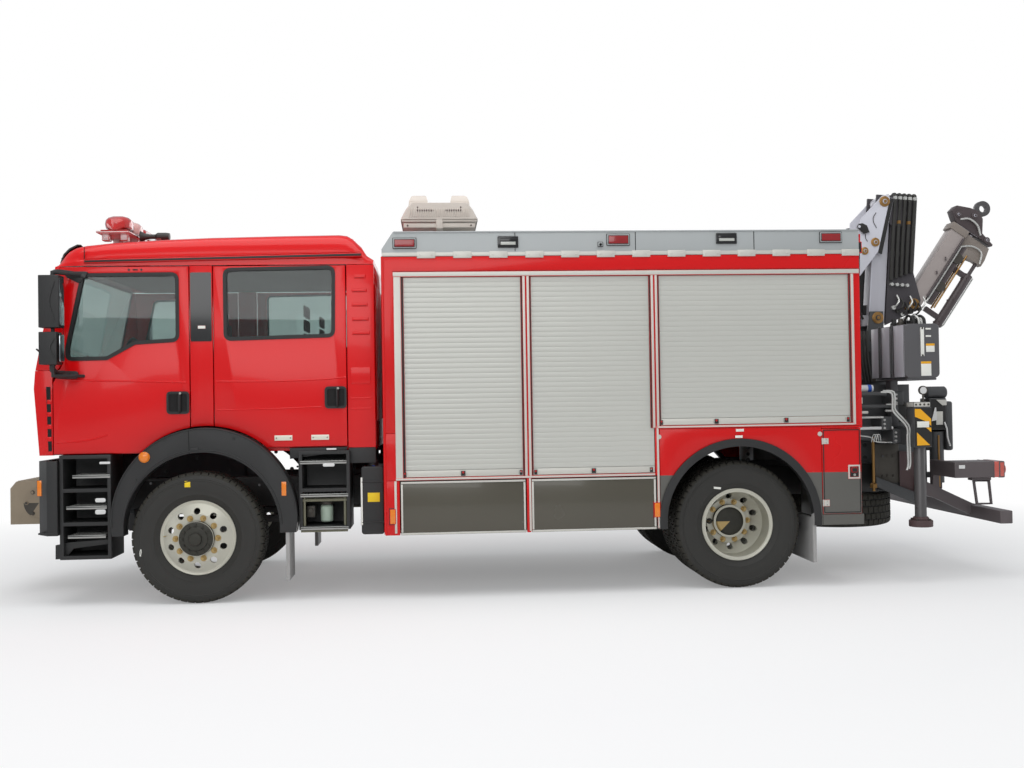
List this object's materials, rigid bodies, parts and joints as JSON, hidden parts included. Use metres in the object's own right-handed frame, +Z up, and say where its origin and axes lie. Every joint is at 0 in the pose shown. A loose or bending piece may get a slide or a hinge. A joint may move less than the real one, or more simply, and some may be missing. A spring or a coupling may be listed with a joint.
{
  "type": "heavy rescue truck",
  "caption": "Two-axle heavy rescue truck with a four-door crew cab, shuttered equipment lockers, a folding light mast and a rear folding crane.",
  "frame": {"origin": "on the ground under the middle of the overall length and width", "axes": "+X forward, +Y to the vehicle's left, +Z up"},
  "size_m": [9.1072, 2.8, 3.5051],
  "materials": {
    "red_paint": "gloss",
    "black_plastic": "satin",
    "dark_metal": "satin",
    "shutter_slats": "satin",
    "roof_grey": "satin",
    "rim_silver": "satin",
    "tyre_rubber": "matte",
    "glass": "gloss",
    "grey_steel": "satin",
    "lamp_white": "gloss",
    "seat_fabric": "matte",
    "iron": "matte",
    "mirror_black": "satin"
  },
  "bodies": {
    "vehicle": {"chassis_frame": "dark_metal", "front_axle": "dark_metal", "rear_axle": "dark_metal", "engine_block": "iron", "side_tanks": "black_plastic", "spare_wheel": "tyre_rubber", "cab_floor": "red_paint", "cab_front": "red_paint", "cab_sides": "red_paint", "cab_roof": "red_paint", "windscreen": "glass", "cab_interior": "seat_fabric", "wheel_guards": "black_plastic", "cab_steps": "dark_metal", "bumper": "dark_metal", "winch": "grey_steel", "lamps": "lamp_white", "body_floor": "roof_grey", "body_end_walls": "red_paint", "body_sides": "red_paint", "body_roof": "roof_grey", "shutters": "shutter_slats", "crane_base": "dark_metal", "oil_tank": "dark_metal", "rear_bumper": "dark_metal"},
    "steering_knuckle_left": {"knuckle_left": "dark_metal"},
    "front_wheel_left": {"tyre_front_left": "tyre_rubber", "rim_front_left": "rim_silver"},
    "rear_wheels_left": {"tyre_rear_left": "tyre_rubber", "rim_rear_left": "rim_silver"},
    "front_cab_door_left": {"front_door_left": "red_paint", "front_door_glass_left": "glass", "mirror_left": "mirror_black"},
    "rear_cab_door_left": {"rear_door_left": "red_paint", "rear_door_glass_left": "glass"},
    "front_flap_left": {"flap_front_left": "dark_metal"},
    "middle_flap_left": {"flap_middle_left": "dark_metal"},
    "locker_door_left": {"rear_locker_door_left": "red_paint"},
    "stabiliser_leg_left": {"leg_left": "dark_metal"},
    "steering_knuckle_right": {"knuckle_right": "dark_metal"},
    "front_wheel_right": {"tyre_front_right": "tyre_rubber", "rim_front_right": "rim_silver"},
    "rear_wheels_right": {"tyre_rear_right": "tyre_rubber", "rim_rear_right": "rim_silver"},
    "front_cab_door_right": {"front_door_right": "red_paint", "front_door_glass_right": "glass", "mirror_right": "mirror_black"},
    "rear_cab_door_right": {"rear_door_right": "red_paint", "rear_door_glass_right": "glass"},
    "front_flap_right": {"flap_front_right": "dark_metal"},
    "middle_flap_right": {"flap_middle_right": "dark_metal"},
    "locker_door_right": {"rear_locker_door_right": "red_paint"},
    "stabiliser_leg_right": {"leg_right": "dark_metal"},
    "light_mast": {"mast_arm": "dark_metal"},
    "mast_head": {"lamp_head": "lamp_white"},
    "column": {"crane_column": "dark_metal"},
    "first_boom": {"inner_boom": "grey_steel"},
    "second_boom": {"outer_boom": "dark_metal"},
    "jib_beam": {"jib": "dark_metal"},
    "extension": {"jib_extension": "grey_steel"}
  },
  "joints": [
    {"name": "steering_left", "type": "hinge", "parent": "vehicle", "child": "steering_knuckle_left", "pos_m": [2.76, 0.86, 0.53], "axis": [0, 0, 1], "range_deg": [-35, 35]},
    {"name": "wheel_front_left", "type": "hinge", "parent": "steering_knuckle_left", "child": "front_wheel_left", "pos_m": [2.76, 1.03, 0.53], "axis": [0, 1, 0], "continuous": true},
    {"name": "wheels_rear_left", "type": "hinge", "parent": "vehicle", "child": "rear_wheels_left", "pos_m": [-1.69, 0.839, 0.53], "axis": [0, 1, 0], "continuous": true},
    {"name": "front_door_left", "type": "hinge", "parent": "vehicle", "child": "front_cab_door_left", "pos_m": [3.908, 1.124, 1.98], "axis": [0, 0, -1], "range_deg": [0, 70]},
    {"name": "rear_door_left", "type": "hinge", "parent": "vehicle", "child": "rear_cab_door_left", "pos_m": [2.63, 1.124, 1.98], "axis": [0, 0, -1], "range_deg": [0, 70]},
    {"name": "flap_front_left", "type": "hinge", "parent": "vehicle", "child": "front_flap_left", "pos_m": [0.61, 1.252, 0.518], "axis": [-1, 0, 0], "range_deg": [0, 90]},
    {"name": "flap_middle_left", "type": "hinge", "parent": "vehicle", "child": "middle_flap_left", "pos_m": [-0.464, 1.252, 0.518], "axis": [-1, 0, 0], "range_deg": [0, 90]},
    {"name": "rear_locker_door_left", "type": "hinge", "parent": "vehicle", "child": "locker_door_left", "pos_m": [-2.386, 1.252, 0.967], "axis": [0, 0, -1], "range_deg": [0, 90]},
    {"name": "leg_slide_left", "type": "slide", "parent": "vehicle", "child": "stabiliser_leg_left", "axis": [0, 0, -1], "range_m": [0, 0.47]},
    {"name": "steering_right", "type": "hinge", "parent": "vehicle", "child": "steering_knuckle_right", "pos_m": [2.76, -0.86, 0.53], "axis": [0, 0, 1], "range_deg": [-35, 35]},
    {"name": "wheel_front_right", "type": "hinge", "parent": "steering_knuckle_right", "child": "front_wheel_right", "pos_m": [2.76, -1.03, 0.53], "axis": [0, 1, 0], "continuous": true},
    {"name": "wheels_rear_right", "type": "hinge", "parent": "vehicle", "child": "rear_wheels_right", "pos_m": [-1.69, -0.839, 0.53], "axis": [0, 1, 0], "continuous": true},
    {"name": "front_door_right", "type": "hinge", "parent": "vehicle", "child": "front_cab_door_right", "pos_m": [3.908, -1.124, 1.98], "axis": [0, 0, 1], "range_deg": [0, 70]},
    {"name": "rear_door_right", "type": "hinge", "parent": "vehicle", "child": "rear_cab_door_right", "pos_m": [2.63, -1.124, 1.98], "axis": [0, 0, 1], "range_deg": [0, 70]},
    {"name": "flap_front_right", "type": "hinge", "parent": "vehicle", "child": "front_flap_right", "pos_m": [0.61, -1.252, 0.518], "axis": [1, 0, 0], "range_deg": [0, 90]},
    {"name": "flap_middle_right", "type": "hinge", "parent": "vehicle", "child": "middle_flap_right", "pos_m": [-0.464, -1.252, 0.518], "axis": [1, 0, 0], "range_deg": [0, 90]},
    {"name": "rear_locker_door_right", "type": "hinge", "parent": "vehicle", "child": "locker_door_right", "pos_m": [-2.386, -1.252, 0.967], "axis": [0, 0, 1], "range_deg": [0, 90]},
    {"name": "leg_slide_right", "type": "slide", "parent": "vehicle", "child": "stabiliser_leg_right", "axis": [0, 0, -1], "range_m": [0, 0.47]},
    {"name": "mast_tilt", "type": "hinge", "parent": "vehicle", "child": "light_mast", "pos_m": [-0.69, 0, 2.96], "axis": [0, -1, 0], "range_deg": [0, 80]},
    {"name": "mast_head_level", "type": "hinge", "parent": "light_mast", "child": "mast_head", "pos_m": [0.76636, 0, 3.063], "axis": [0, -1, 0], "range_deg": [-80, 0]},
    {"name": "crane_slew", "type": "hinge", "parent": "vehicle", "child": "column", "pos_m": [-3.39, 0, 1.65], "axis": [0, 0, 1], "range_deg": [-90, 90]},
    {"name": "crane_lift", "type": "hinge", "parent": "column", "child": "first_boom", "pos_m": [-3.37, 0, 2.33], "axis": [0, -1, 0], "range_deg": [0, 60]},
    {"name": "crane_knuckle", "type": "hinge", "parent": "first_boom", "child": "second_boom", "pos_m": [-3.451, 0, 3.43303], "axis": [0, 1, 0], "range_deg": [0, 150]},
    {"name": "jib_fold", "type": "hinge", "parent": "second_boom", "child": "jib_beam", "pos_m": [-3.73953, 0, 2.46029], "axis": [0, -1, 0], "range_deg": [0, 140]},
    {"name": "jib_extend", "type": "slide", "parent": "jib_beam", "child": "extension", "axis": [-0.5621, 0, 0.8271], "range_m": [0, 0.5]}
  ],
  "couplings": [
    {"joint": "steering_right", "follows": "steering_left", "ratio": 1},
    {"joint": "mast_head_level", "follows": "mast_tilt", "ratio": -1},
    {"joint": "crane_knuckle", "follows": "crane_lift", "ratio": 2.5},
    {"joint": "jib_fold", "follows": "crane_lift", "ratio": 2.3333}
  ]
}
